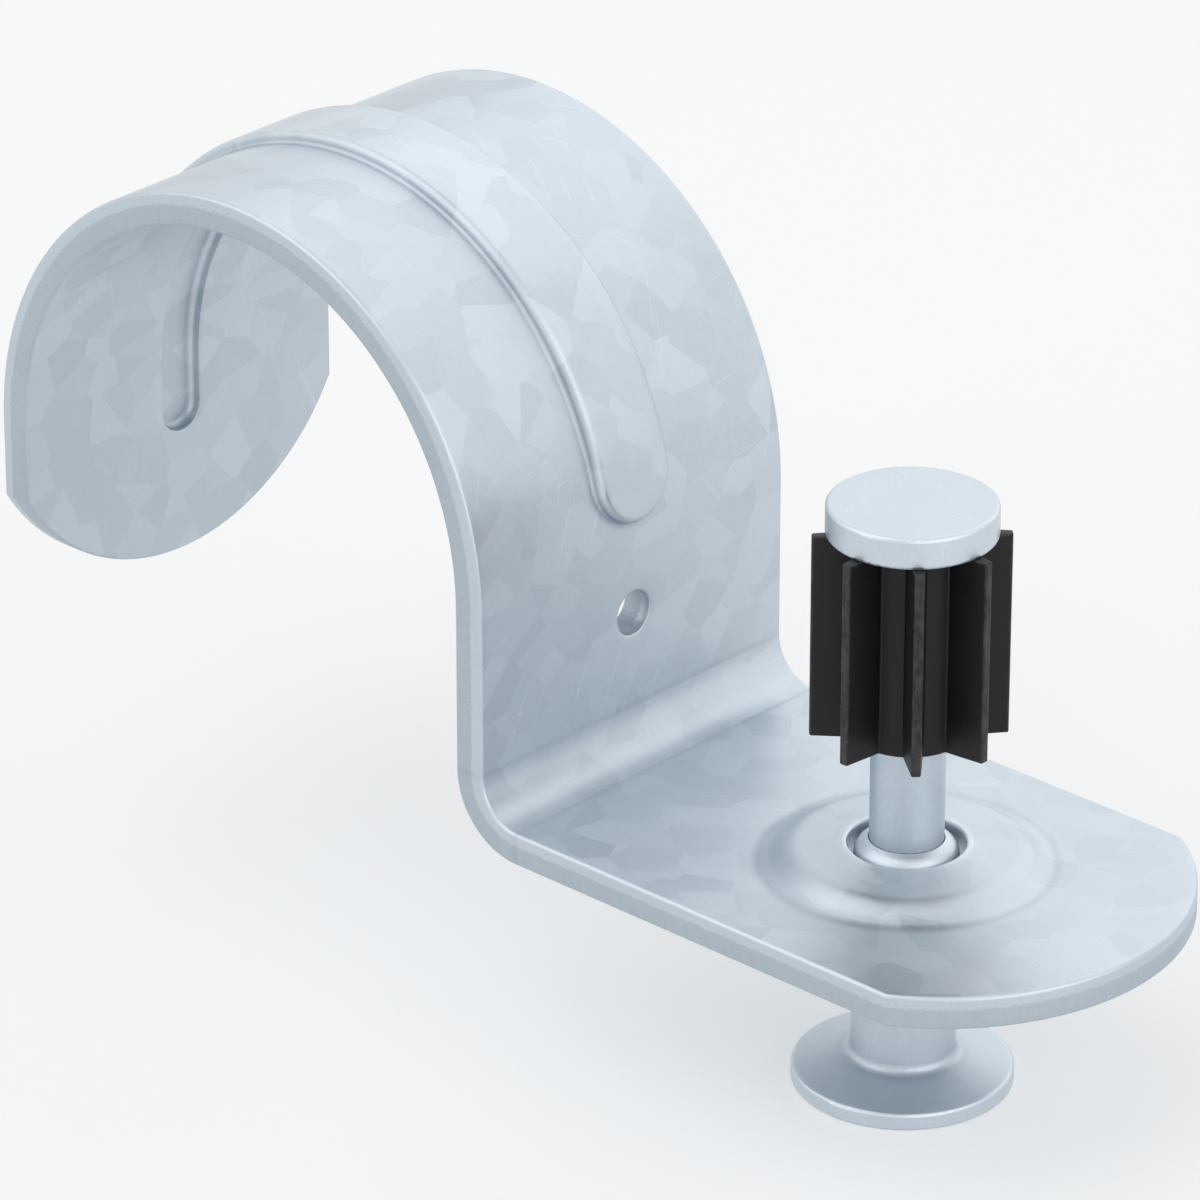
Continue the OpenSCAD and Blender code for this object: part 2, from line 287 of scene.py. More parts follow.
class Wire:
    """An output of a node that can be used in sums."""

    def __init__(self, nodes, socket):
        self.nodes = nodes
        self.socket = socket

    def sum(self, operation, *values):
        return self.nodes.node("ShaderNodeMath", {"operation": operation}, dict(enumerate(values)))

    def __add__(self, other):
        return self.sum("ADD", self, other)

    def __radd__(self, other):
        return self.sum("ADD", other, self)

    def __sub__(self, other):
        return self.sum("SUBTRACT", self, other)

    def __rsub__(self, other):
        return self.sum("SUBTRACT", other, self)

    def __mul__(self, other):
        return self.sum("MULTIPLY", self, other)

    def __rmul__(self, other):
        return self.sum("MULTIPLY", other, self)

    def __truediv__(self, other):
        return self.sum("DIVIDE", self, other)

    def __abs__(self):
        return self.sum("ABSOLUTE", self)

    def least(self, other):
        return self.sum("MINIMUM", self, other)

    def most(self, other):
        return self.sum("MAXIMUM", self, other)

    def above(self, low, high):
        """0 below low, 1 above high, with a smooth step between them."""
        values = {"Value": self, "From Min": low, "From Max": high, "To Min": 0.0, "To Max": 1.0}
        return self.nodes.node("ShaderNodeMapRange", {"interpolation_type": "SMOOTHSTEP"}, values)

    def under(self, low, high):
        return 1 - self.above(low, high)

    def line(self, place, width):
        """1 on the place, fading to 0 at the width on both sides."""
        return abs(self - place).under(0.0, width)


class Nodes:
    """The nodes of one material or world, which start empty."""

    def __init__(self, owner):
        self.owner = owner
        owner.use_nodes = True
        self.tree = owner.node_tree
        self.tree.nodes.clear()

    def node(self, kind, settings=None, values=None, output=0):
        """Adds a node, applies its settings, then fills or links its sockets."""
        made = self.tree.nodes.new(kind)
        for name, value in (settings or {}).items():
            setattr(made, name, value)
        for key, value in (values or {}).items():
            socket = made.inputs[key]
            if isinstance(value, Wire):
                self.tree.links.new(value.socket, socket)
            elif socket.type == "RGBA":
                socket.default_value = (*value, 1.0)
            else:
                socket.default_value = value
        return Wire(self, made.outputs[output]) if made.outputs else None

    def seen(self):
        """1 on rays from the camera, in reflections or through glass, and 0 on rays that only carry light."""
        camera, *others = (self.node("ShaderNodeLightPath", output=f"Is {ray} Ray") for ray in SEEN_RAYS)
        for other in others:
            camera = camera.most(other)
        return camera


class Finish(Nodes):
    """A material and the point that it colours, in millimetres: the object's own, or an attribute's."""

    def __init__(self, name, attribute=None):
        super().__init__(bpy.data.materials.new(name))
        if attribute:
            self.point = self.node("ShaderNodeAttribute", {"attribute_name": attribute}, output="Vector")
        else:
            place = self.node("ShaderNodeTexCoord", output="Object")
            self.point = self.stretched((MM, MM, MM), place)
        self.x, self.y, self.z = (
            self.node("ShaderNodeSeparateXYZ", None, {0: self.point}, axis) for axis in "XYZ"
        )

    def joined(self, x, y, z):
        return self.node("ShaderNodeCombineXYZ", None, {0: x, 1: y, 2: z})

    def stretched(self, scales, vector=None):
        values = {0: vector or self.point, 1: scales}
        return self.node("ShaderNodeVectorMath", {"operation": "MULTIPLY"}, values)

    def turned(self, *degrees):
        values = {"Vector": self.point, "Rotation": [math.radians(a) for a in degrees]}
        return self.node("ShaderNodeVectorRotate", {"rotation_type": "EULER_XYZ"}, values)

    def distance(self, a, b):
        total = a * a + b * b
        return total.sum("SQRT", total)

    def noise(self, vector, scale=1.0, detail=2.0, roughness=0.5):
        """Soft noise round 0, from about -0.5 to 0.5."""
        values = {"Vector": vector, "Scale": scale, "Detail": detail, "Roughness": roughness}
        return self.node("ShaderNodeTexNoise", {"noise_dimensions": "3D"}, values) - 0.5

    def crystals(self, size):
        """A number round 0 for each crystal of the zinc, which reaches deeper than it is wide."""
        values = {"Vector": self.stretched((1, 1, 0.35)), "Scale": 1 / size}
        cells = self.node("ShaderNodeTexVoronoi", {"feature": "F1"}, values, "Color")
        return self.node("ShaderNodeSeparateColor", None, {0: cells}, "Red") - 0.5

    def scratches(self, degrees, share_off, long=7.0, wide=0.16, deep=0.16):
        """Sparse fine scratches along one direction, 1 in a scratch and 0 beside it."""
        lines = self.stretched((1 / long, 1 / wide, 1 / deep), self.turned(*degrees))
        return self.noise(lines, detail=0.0).above(share_off, share_off + 0.03)

    def blend(self, factor, first, second):
        return self.node("ShaderNodeMix", {"data_type": "RGBA"}, {0: factor, 6: first, 7: second}, 2)

    def surface(self, tones, tone, roughness, height, metallic, specular=0.5):
        """Closes the material. Tone goes from the first to the second of two colours, height is in mm."""
        base = self.blend(tone.most(0.0).least(1.0), *tones)
        normal = self.node("ShaderNodeBump", None, {"Strength": 1.0, "Distance": 1 / MM, "Height": height})
        values = {
            "Base Color": base,
            "Roughness": roughness.most(0.05).least(1.0),
            "Metallic": metallic,
            "Specular IOR Level": specular,
            "Normal": normal,
        }
        shader = self.node("ShaderNodeBsdfPrincipled", None, values)
        self.node("ShaderNodeOutputMaterial", None, {"Surface": shader})
        return self.owner


class TurnedFinish(Finish):
    """A finish for a piece that is round about the pin's axis, with marks down it and round it."""

    def __init__(self, name):
        super().__init__(name)
        self.x = self.x - PIN_X
        self.radius = self.distance(self.x, self.y)
        reach = self.radius.most(0.05)
        down = self.joined(self.x / reach * DRAW_ROUND, self.y / reach * DRAW_ROUND, self.z * DRAW_ALONG)
        rings = self.joined(self.radius * RINGS, self.z * RINGS, 0.0)
        self.down = self.noise(down, detail=3.0, roughness=0.6)
        self.round = self.noise(rings, detail=3.0, roughness=0.6)
        self.clouds = self.noise(self.point, 0.35, 3.0)
        self.fine = self.noise(self.point, 6.0, 3.0, 0.6)


def strap_finish(look, s):
    """Pre-galvanised sheet: faint crystals, rolling grain, sheared edges, the marks of the press, and painted
    shade at the feet of the bead and the collar.
    """
    f = Finish("strap_galvanised", "flat")
    x, y, depth = f.x, f.y, f.z
    side = abs(y)
    from_hole = f.distance(x - PIN_X, y)
    from_neck_hole = f.distance(x - s.neck_hole, y)
    from_bead = f.distance((x - s.bead_to).most(s.bead_from - x).most(0.0), y)
    outside = depth.above(s.sheet - 0.1, s.sheet - 0.02)
    # Sheared edges: burnished near the punch and torn beyond
    edge_low, edge_high = 0.17, 0.03
    tab_end = f.distance(x - s.tab_centre, y).above(s.end_radius - edge_low, s.end_radius - edge_high)
    leg_end = f.distance(x - s.leg_centre, y).above(s.end_radius - edge_low, s.end_radius - edge_high)
    cut = side.above(s.half - edge_low, s.half - edge_high)
    cut = cut.most(tab_end * x.above(s.tab_centre, s.tab_centre + 1))
    cut = cut.most(leg_end * x.under(s.leg_centre - 1, s.leg_centre))
    cut = cut.most(from_hole.under(s.hole_radius + 0.02, s.hole_radius + 0.08))
    cut = cut.most(from_neck_hole.under(s.neck_hole_radius + 0.02, s.neck_hole_radius + 0.06))
    tears = f.noise(f.stretched((5.0, 5.0, 0.7)), detail=3.0, roughness=0.65)
    torn = cut * (depth - tears * 0.5).under(s.sheet - 0.7, s.sheet - 0.54)
    shorn = cut - torn
    face = 1 - cut
    # Rolled and galvanised faces
    clouds = f.noise(f.point, 0.13, 3.0)
    crystal = f.crystals(look.crystal_size * MM) * face
    feathers = f.noise(f.point, 1.1, 4.0, 0.7) * face
    grain = f.noise(f.stretched((0.09, 7.0, 0.09)), detail=3.0, roughness=0.6) * face
    fine = f.noise(f.point, 5.5, 2.0, 0.6)
    marks = f.scratches((0, 0, 24), 0.27, 9.0, 0.16, 2.0) + f.scratches((0, 0, -37), 0.28, 5.0, 0.11, 2.0)
    marks = marks + f.scratches((0, 0, 81), 0.3, 3.0, 0.12, 2.0)
    marks = marks.least(1.0) * clouds.above(-0.12, 0.1) * face
    # Marks of the press: the bead's worn crest, the bend and the drawn collar; painted shade along the bead's
    # foot and the collar's foot
    crest = from_bead.under(s.bead_half - 0.5, s.bead_half - 0.1) * depth.above(s.sheet + 0.4, s.sheet + 0.55)
    # Painted shade: a dark line along the foot of the bead, on the sheet's outer face
    bead_foot_shade = from_bead.line(s.bead_half + 0.14, 0.34) * outside
    bend_lines = x.line(s.bend_x, 0.28) + x.line(s.neck_low, 0.28)
    stretched = x.above(s.neck_low, s.neck_low + 0.8) * x.under(s.bend_x - 0.8, s.bend_x)
    stretched = stretched * depth.under(0.05, 0.4)
    crazing = f.noise(f.stretched((6.0, 0.35, 1.0)), detail=3.0, roughness=0.7).above(0.02, 0.16) * stretched
    rings = f.noise(f.joined(from_hole * 3.4, 0.0, depth * 0.2), detail=3.0, roughness=0.6)
    drawn = rings * from_hole.under(s.collar_radius - 0.2, s.collar_radius + 0.3) * face
    # Painted shade along the collar's foot, where the bump also dips a little
    collar_foot_dip_and_shade = from_hole.line(s.collar_radius, 0.4)
    rim = from_hole.under(s.hole_radius + 0.2, s.hole_radius + 0.5)

    tone = clouds * 0.18 + crystal * 0.22 + feathers * 0.14 + grain * 0.12 + fine * 0.04
    tone = tone + crest * 0.07 + marks * 0.16 + rim * 0.1 - bead_foot_shade * 0.3 - collar_foot_dip_and_shade * 0.16 - bend_lines * 0.1
    tone = tone - crazing * 0.12 - torn * 0.26 - shorn * 0.05 + tears * cut * 0.22 + drawn * 0.12 + 0.5
    rough = clouds * 0.1 + crystal * 0.06 + feathers * 0.08 + grain * 0.12 - crest * 0.04 - marks * 0.08
    rough = rough + torn * 0.16 - shorn * 0.06 + drawn * 0.14 - rim * 0.06 + crazing * 0.12 + look.roughness
    height = grain * 0.0032 + fine * 0.001 + feathers * 0.0012 + clouds * face * 0.01 - marks * 0.003
    height = height - bend_lines * 0.012 - crazing * 0.004 + tears * torn * 0.03 + tears * shorn * 0.006
    height = height + drawn * 0.006 - collar_foot_dip_and_shade * 0.004
    return f.surface((look.dark, look.light), tone, rough, height, look.metallic)


def thimble_finish(look):
    """Drawn and plated steel: draw lines on the barrel, rings on the brim, a bright crown, and painted shade
    in the bore and in the corner at the brim.
    """
    f = TurnedFinish("thimble_zinc_plated")
    brim_top = THIMBLE_LOW.z + BRIM_RISE
    barrel = f.z.above(brim_top, brim_top + 0.5)
    crown = f.z.above(THIMBLE_HIGH.z - 1.1, THIMBLE_HIGH.z - 0.3)
    edge = f.radius.above(THIMBLE_HIGH.y - 0.3, THIMBLE_HIGH.y - 0.05)
    # Painted shade: darker inside the bore, which is also rougher, and darker in the corner between the
    # barrel and the brim
    inside = f.radius.under(BORE_RADIUS + 0.1, BORE_RADIUS + 0.3) * (1 - crown)
    corner = f.radius.line(BARREL_RADIUS + 0.3, 0.6) * f.z.under(brim_top + 0.3, brim_top + 0.9)
    down, round_ = f.down * barrel, f.round * (1 - barrel)
    marks = f.scratches((20, 50, 15), 0.2, 4.0, 0.12)
    tone = f.clouds * 0.16 + down * 0.14 + round_ * 0.12 + f.fine * 0.04 + marks * 0.1
    tone = tone + edge * 0.14 + crown * 0.06 - inside * 0.3 - corner * 0.12 + 0.52
    rough = f.clouds * 0.1 + down * 0.14 + round_ * 0.12 - edge * 0.05 - crown * 0.05 + inside * 0.15
    height = down * 0.004 + round_ * 0.004 + f.fine * 0.0016 - marks * 0.002
    return f.surface((look.dark, look.light), tone, rough + look.roughness, height, look.metallic)


def pin_finish(look):
    """Hardened and plated pin: a cold-headed head with faint rings, and draw lines down the shank."""
    f = TurnedFinish("pin_zinc_plated")
    head = f.z.above(SLEEVE_HIGH.z - 0.05, SLEEVE_HIGH.z + 0.05)
    shank = 1 - head
    top = f.z.above(PIN_HIGH.z - 0.12, PIN_HIGH.z - 0.03)
    edge = f.radius.above(PIN_HIGH.y - 0.3, PIN_HIGH.y - 0.06) * head
    dimples = f.noise(f.point, 2.6) * head
    down, round_ = f.down * shank, f.round * top
    marks = f.scratches((20, 50, 15), 0.2, 4.0, 0.12)
    tone = f.clouds * 0.16 + down * 0.16 + round_ * 0.1 + f.down * (head - top) * 0.06 + f.fine * 0.04
    tone = tone + marks * 0.12 + edge * 0.1 + dimples * 0.05 + 0.52
    rough = f.clouds * 0.1 + down * 0.12 + round_ * 0.12 - edge * 0.06 + dimples * 0.06
    height = down * 0.003 + round_ * 0.003 + f.fine * 0.0016 + dimples * 0.006 - marks * 0.002
    return f.surface((look.dark, look.light), tone, rough + look.roughness, height, look.metallic)


def sleeve_finish(look):
    """Black moulded polyethylene: flow lines down the flutes, pale rubbed edges that are partly painted edge
    highlights, and painted shade in the valleys.
    """
    f = TurnedFinish("sleeve_polyethylene")
    low, high, tip = SLEEVE_LOW.z, SLEEVE_HIGH.z, SLEEVE_HIGH.y
    core = look.core_radius * MM
    flow = f.noise(f.stretched((2.2, 2.2, 0.16)), detail=3.0, roughness=0.6)
    skin = f.noise(f.point, 7.0, 2.0, 0.6)
    wear = f.noise(f.stretched((3.0, 3.0, 1.2)), detail=4.0, roughness=0.7)
    at_tip = f.radius.above(tip - 0.16, tip - 0.01)
    at_end = f.z.above(high - 0.16, high - 0.02).most(f.z.under(low + 0.02, low + 0.16))
    outer = f.radius.above(core + 0.68, core + 1.68)
    # The flutes' tips and ends get a pale colour: partly rubbed wear, partly painted edge highlights
    rubbed = at_tip.most(at_end * outer * 0.7) * wear.above(-0.2, 0.25)
    # Painted shade: a little darker in the valleys between the flutes
    valley = f.radius.under(core + 0.03, core + 0.58)
    tone = rubbed * look.rub + flow * 0.03 + f.clouds * 0.03 + skin * 0.01 - valley * 0.02 + 0.02
    rough = flow * 0.1 + f.clouds * 0.08 + rubbed * 0.12 + skin * 0.05 + look.roughness
    height = flow * 0.004 + skin * 0.0022 + rubbed * wear * 0.004
    return f.surface((look.plastic, look.rubbed), tone, rough, height, 0.0, look.gloss)


def give_finish(thing, material):
    """Puts one material over the whole of a mesh."""
    if thing is None or thing.type != "MESH":
        raise RuntimeError("The mesh that this finish is for was not found")
    thing.data.materials.clear()
    thing.data.materials.append(material)


def moved(geometry, kind):
    """The vertices, edges or faces among an operator's results."""
    return [g for g in geometry if isinstance(g, kind)]


def add_wire(bm, places):
    """A chain of edges through places across and up the sheet. A corner may name a rounding and its steps."""
    made = [bm.verts.new((0, across, up)) for across, up, *_ in places]
    for pair in zip(made, made[1:]):
        bm.edges.new(pair)
    for corner, (_, _, *rounding) in zip(made, places):
        if rounding:
            bmesh.ops.bevel(
                bm,
                geom=[corner],
                offset=rounding[0],
                offset_type="OFFSET",
                affect="VERTICES",
                segments=rounding[1],
                profile=0.5,
                material=-1,
            )
    bmesh.ops.remove_doubles(bm, verts=bm.verts, dist=1e-4)


def pressed_run(places, start, end, steps):
    """A long pressed form with round ends: its section is swept up one side, round, and back."""
    bm = bmesh.new()
    add_wire(bm, places)
    bmesh.ops.translate(bm, verts=bm.verts, vec=(start, 0, 0))
    rim = bm.edges[:]
    for here, there in ((start, end), (end, start)):
        side = bmesh.ops.extrude_edge_only(bm, edges=rim)["geom"]
        bmesh.ops.translate(bm, verts=moved(side, bmesh.types.BMVert), vec=(there - here, 0, 0))
        turn = bmesh.ops.spin(
            bm,
            geom=moved(side, bmesh.types.BMVert) + moved(side, bmesh.types.BMEdge),
            cent=(there, 0, 0),
            axis=(0, 0, 1),
            dvec=(0, 0, 0),
            angle=-math.pi,
            steps=steps,
        )["geom_last"]
        rim = moved(turn, bmesh.types.BMEdge)
    bmesh.ops.remove_doubles(bm, verts=bm.verts, dist=1e-4)
    return bm


def pressed_ring(places, centre, steps):
    """A pressed form that is round about a place on the sheet."""
    bm = bmesh.new()
    add_wire(bm, places)
    bmesh.ops.rotate(bm, verts=bm.verts, cent=(0, 0, 0), matrix=Matrix.Rotation(-math.pi / 2, 3, "Z"))
    bmesh.ops.translate(bm, verts=bm.verts, vec=(centre, 0, 0))
    bmesh.ops.spin(
        bm,
        geom=bm.verts[:] + bm.edges[:],
        cent=(centre, 0, 0),
        axis=(0, 0, 1),
        dvec=(0, 0, 0),
        angle=2 * math.pi,
        steps=steps,
        use_merge=True,
    )
    bmesh.ops.remove_doubles(bm, verts=bm.verts, dist=1e-4)
    return bm


def cut_blank(s, steps):
    """The blank: its outline through the sheet with rounded rims, open where its two flat faces go."""
    bm = bmesh.new()
    reach = math.sqrt(s.end_radius**2 - s.half**2)
    spread = 2 * math.atan2(s.half, reach)
    ends = []
    for centre, way in ((s.tab_centre, 1), (s.leg_centre, -1)):
        first = bm.verts.new((centre + way * reach, -way * s.half, 0))
        last = bmesh.ops.spin(
            bm,
            geom=[first],
            cent=(centre, 0, 0),
            axis=(0, 0, 1),
            dvec=(0, 0, 0),
            angle=spread,
            steps=steps,
        )["geom_last"]
        ends.append((first, moved(last, bmesh.types.BMVert)[0]))
    (tab_first, tab_last), (leg_first, leg_last) = ends
    bm.edges.new((tab_last, leg_first))
    bm.edges.new((leg_last, tab_first))
    face = bmesh.ops.contextual_create(bm, geom=bm.edges[:])["faces"]
    raised = bmesh.ops.extrude_face_region(bm, geom=face, use_keep_orig=True)["geom"]
    bmesh.ops.translate(bm, verts=moved(raised, bmesh.types.BMVert), vec=(0, 0, s.sheet))
    bmesh.ops.recalc_face_normals(bm, faces=bm.faces)
    rims = [e for e in bm.edges if abs(e.verts[0].co.z - e.verts[1].co.z) < 1e-6]
    bmesh.ops.bevel(
        bm,
        geom=rims,
        offset=s.edge,
        offset_type="OFFSET",
        affect="EDGES",
        segments=4,
        profile=0.5,
        material=-1,
        clamp_overlap=True,
    )
    # A narrow border keeps the flat faces' shading flat
    flats = [f for f in bm.faces if len(f.verts) > steps]
    bmesh.ops.inset_region(bm, faces=flats, thickness=0.15, use_even_offset=True)
    flats = [f for f in bm.faces if len(f.verts) > steps]
    bmesh.ops.delete(bm, geom=flats, context="FACES_ONLY")
    return bm


def collar_height(s, radius):
    """Height of the drawn collar over the tab: a steep foot, then a slope up to the mouth."""
    flank = min(1, (s.collar_radius - radius) / s.collar_flank)
    inward = (s.collar_radius - radius) / (s.collar_radius - s.hole_radius)
    slope = COLLAR_SLOPE * inward * inward
    return (s.collar_rise - COLLAR_SLOPE) * flank * flank * (3 - 2 * flank) + slope


def collar_wire(s, count=18):
    """Section of the collar from the tab's top, over the mouth and through the hole, to its underside."""
    step = (s.collar_radius - s.hole_radius) / count
    radii = [s.collar_radius - step * i for i in range(count)]
    border = s.collar_radius + COLLAR_BORDER
    top = [(border, s.sheet)] + [(r, s.sheet + collar_height(s, r)) for r in radii]
    mouth = [(s.hole_radius, s.sheet + s.collar_rise, MOUTH_RIM, 4)]
    mouth += [(s.hole_radius, s.collar_rise, HOLE_RIM, 3)]
    under = [(r, collar_height(s, r)) for r in reversed(radii)] + [(border, 0)]
    return top + mouth + under


def join_mesh(bm, other):
    """Adds another mesh under construction to this one, and lets the other go."""
    data = bpy.data.meshes.new("joined")
    other.to_mesh(data)
    other.free()
    bm.from_mesh(data)
    bpy.data.meshes.remove(data)


def score_places(s):
    """Where the blank is scored across, so that its faces can bend."""
    bends = ((s.bend_x, s.neck_low), (s.neck_high, s.ease_end), (s.ease_end, s.arch_end))
    places = []
    for (start, end), count in zip(bends, SCORES):
        places += [start + (end - start) * i / count for i in range(count + 1)]
    return places


def press_blank(s):
    """The flat strap: blank, bead and groove, collar and small hole, with its flats filled and scored."""
    bm = cut_blank(s, END_STEPS)
    crest, floor = s.sheet + s.bead_rise, s.bead_rise
    wall = s.bead_half
    over = [(wall + BORDER, s.sheet), (wall, s.sheet, BEAD_FOOT, 4), (wall, crest, s.bead_corner, 6)]
    over += [(wall - CREST_BORDER, crest), (0, crest)]
    wall = s.groove_half
    under = [(wall + BORDER, 0), (wall, 0, GROOVE_LIP, 2), (wall, floor, GROOVE_CORNER, 6)]
    under += [(reach, floor) for reach in GROOVE_FLOOR]
    radius = s.neck_hole_radius
    border = radius + HOLE_BORDER
    small = [(border, s.sheet), (radius, s.sheet, HOLE_RIM, 3), (radius, 0, HOLE_RIM, 3), (border, 0)]
    join_mesh(bm, pressed_run(over, s.bead_from, s.bead_to, BEAD_STEPS))
    join_mesh(bm, pressed_run(under, s.bead_from, s.bead_to, BEAD_STEPS))
    join_mesh(bm, pressed_ring(collar_wire(s), PIN_X, COLLAR_STEPS))
    join_mesh(bm, pressed_ring(small, s.neck_hole, HOLE_STEPS))
    for level, way in ((s.sheet, 1), (0, -1)):
        edges = [e for e in bm.edges if e.is_boundary and all(abs(v.co.z - level) < 1e-4 for v in e.verts)]
        bmesh.ops.triangle_fill(bm, use_beauty=True, edges=edges, normal=(0, 0, way))
    bmesh.ops.remove_doubles(bm, verts=bm.verts, dist=1e-4)
    for place in score_places(s):
        near = set()
        for face in bm.faces:
            reach = [v.co.x for v in face.verts]
            if min(reach) < place + 1e-4 and max(reach) > place - 1e-4:
                near.update((face, *face.verts, *face.edges))
        bmesh.ops.bisect_plane(bm, geom=list(near), dist=1e-5, plane_co=(place, 0, 0), plane_no=(1, 0, 0))
    bmesh.ops.recalc_face_normals(bm, faces=bm.faces)
    return bm


def bent(s, co):
    """Where a point of the flat strap ends, and which way its own along and up then point."""
    x, y, up = co
    if x >= s.bend_x:
        return Vector((x, y, s.tab_low + up)), Vector((1, 0, 0)), Vector((0, 0, 1))
    if x >= s.neck_low:
        a = (s.bend_x - x) / s.bend
        outward = Vector((math.sin(a), 0, math.cos(a)))
        along = Vector((math.cos(a), 0, -math.sin(a)))
        return Vector((s.bend_x, y, s.bend_z)) - outward * (s.bend + s.sheet - up), along, outward
    if x >= s.neck_high:
        place = Vector((s.neck_x + up, y, s.bend_z + s.neck_low - x))
        return place, Vector((0, 0, -1)), Vector((1, 0, 0))
    if x >= s.ease_end:
        a = (s.neck_high - x) / (s.ease_radius + s.sheet)
        centre, radius = Vector((s.ease_x, y, s.ease_z)), s.ease_radius
    elif x >= s.arch_end:
        a = s.ease_turn + (s.ease_end - x) / (s.seat + s.sheet)
        centre, radius = Vector((0, y, 0)), s.seat
    else:
        return Vector((-s.seat - up, y, x - s.arch_end)), Vector((0, 0, 1)), Vector((-1, 0, 0))
    outward = Vector((math.cos(a), 0, math.sin(a)))
    return centre + outward * (radius + up), Vector((math.sin(a), 0, -math.cos(a))), outward


def bend_strap(s):
    """Bends the flat strap. Each point keeps its flat place, and its normal turns with the sheet."""
    bm = press_blank(s)
    if any(not e.is_manifold for e in bm.edges):
        raise RuntimeError("The strap's mesh is not closed")
    bm.normal_update()
    flat, normals = [], []
    for v in bm.verts:
        place, along, outward = bent(s, v.co)
        flat.extend(v.co)
        normals.append((along * v.normal.x + Vector((0, v.normal.y, 0)) + outward * v.normal.z).normalized())
        v.co = place / MM
    data = bpy.data.meshes.new("strap_sheet")
    bm.to_mesh(data)
    bm.free()
    data.attributes.new("flat", "FLOAT_VECTOR", "POINT").data.foreach_set("vector", flat)
    data.shade_smooth()
    data.normals_split_custom_set_from_vertices(normals)
    thing = bpy.data.objects.new("strap_sheet", data)
    bpy.context.scene.collection.objects.link(thing)
    return thing


def flute_chain(s, bm):
    """Half of a valley, one flute and half of the next valley, as a chain of vertices round the axis."""
    half_turn = math.pi / s.flutes
    root = math.asin(s.root_width / 2 / s.core_radius)
    tip = math.asin(s.tip_width / 2 / s.tip_radius)
    middle = (half_turn + root) / 2
    side = [(s.core_radius, half_turn), (s.core_radius, middle), (s.core_radius, root), (s.tip_radius, tip)]
    corners = [(r, -a) for r, a in side] + side[::-1]
    made = [bm.verts.new((r * math.cos(a), r * math.sin(a), 0)) for r, a in corners]
    return [bm.edges.new(pair) for pair in zip(made, made[1:])]


def mould_sleeve(s):
    """Spins one flute into the sleeve's section, raises it and rounds its edges."""
    bm = bmesh.new()
    inward = bmesh.ops.extrude_edge_only(bm, edges=flute_chain(s, bm))["geom"]
    for v in moved(inward, bmesh.types.BMVert):
        v.co = v.co.normalized() * s.bore_radius
    bmesh.ops.spin(
        bm,
        geom=bm.verts[:] + bm.edges[:] + bm.faces[:],
        cent=(0, 0, 0),
        axis=(0, 0, 1),
        dvec=(0, 0, 0),
        angle=2 * math.pi * (s.flutes - 1) / s.flutes,
        steps=s.flutes - 1,
        use_duplicate=True,
    )
    bmesh.ops.remove_doubles(bm, verts=bm.verts, dist=1e-3)
    raised = bmesh.ops.extrude_face_region(bm, geom=bm.faces[:], use_keep_orig=True)["geom"]
    rise = (0, 0, SLEEVE_HIGH.z - SLEEVE_LOW.z)
    bmesh.ops.translate(bm, verts=moved(raised, bmesh.types.BMVert), vec=rise)
    bmesh.ops.recalc_face_normals(bm, faces=bm.faces)
    outer = [e for e in bm.edges if max(v.co.xy.length for v in e.verts) > s.bore_radius * 1.05]
    sharp = [e for e in outer if e.calc_face_angle(0) > math.radians(25)]
    bmesh.ops.bevel(
        bm,
        geom=sharp,
        offset=s.edge,
        offset_type="OFFSET",
        affect="EDGES",
        segments=3,
        profile=0.5,
        material=-1,
        clamp_overlap=True,
    )
    if any(not e.is_manifold for e in bm.edges):
        raise RuntimeError("The sleeve's mesh is not closed")
    bmesh.ops.translate(bm, verts=bm.verts, vec=(PIN_X, 0, SLEEVE_LOW.z))
    bmesh.ops.scale(bm, verts=bm.verts, vec=(1 / MM, 1 / MM, 1 / MM))
    data = bpy.data.meshes.new("sleeve_moulding")
    bm.to_mesh(data)
    bm.free()
    data.shade_smooth()
    data.set_sharp_from_angle(angle=math.radians(35))
    thing = bpy.data.objects.new("sleeve_moulding", data)
    bpy.context.scene.collection.objects.link(thing)
    even = thing.modifiers.new("even_shading", "WEIGHTED_NORMAL")
    even.keep_sharp = True
    return thing


def set_piece(thing, material, body, node):
    """Finishes a new piece, and puts it on its body in place of its solid."""
    give_finish(thing, material)
    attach(thing, body)
    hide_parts(node)


def studio_world(stage):
    """White where the camera looks, in metal and through glass, and softer light elsewhere."""
    n = Nodes(bpy.data.worlds.new("studio"))
    seen = n.seen()
    light = n.node("ShaderNodeBackground", None, {"Color": (1.0, 1.0, 1.0), "Strength": stage.fill})
    white = n.node("ShaderNodeBackground", None, {"Color": (1.0, 1.0, 1.0), "Strength": 1.0})
    both = n.node("ShaderNodeMixShader", None, {0: seen, 1: light, 2: white})
    n.node("ShaderNodeOutputWorld", None, {"Surface": both})
    bpy.context.scene.world = n.owner


def floor_finish(stage):
    """Matt, and a little paler where it is seen, so that it nears the background and keeps its shadows."""
    n = Nodes(bpy.data.materials.new("floor_pale"))
    matt = n.node("ShaderNodeBsdfDiffuse", None, {"Color": stage.floor_colour})
    glow = n.node("ShaderNodeEmission", None, {"Strength": n.seen() * stage.floor_lift})
    both = n.node("ShaderNodeAddShader", None, {0: matt, 1: glow})
    n.node("ShaderNodeOutputMaterial", None, {"Surface": both})
    return n.owner


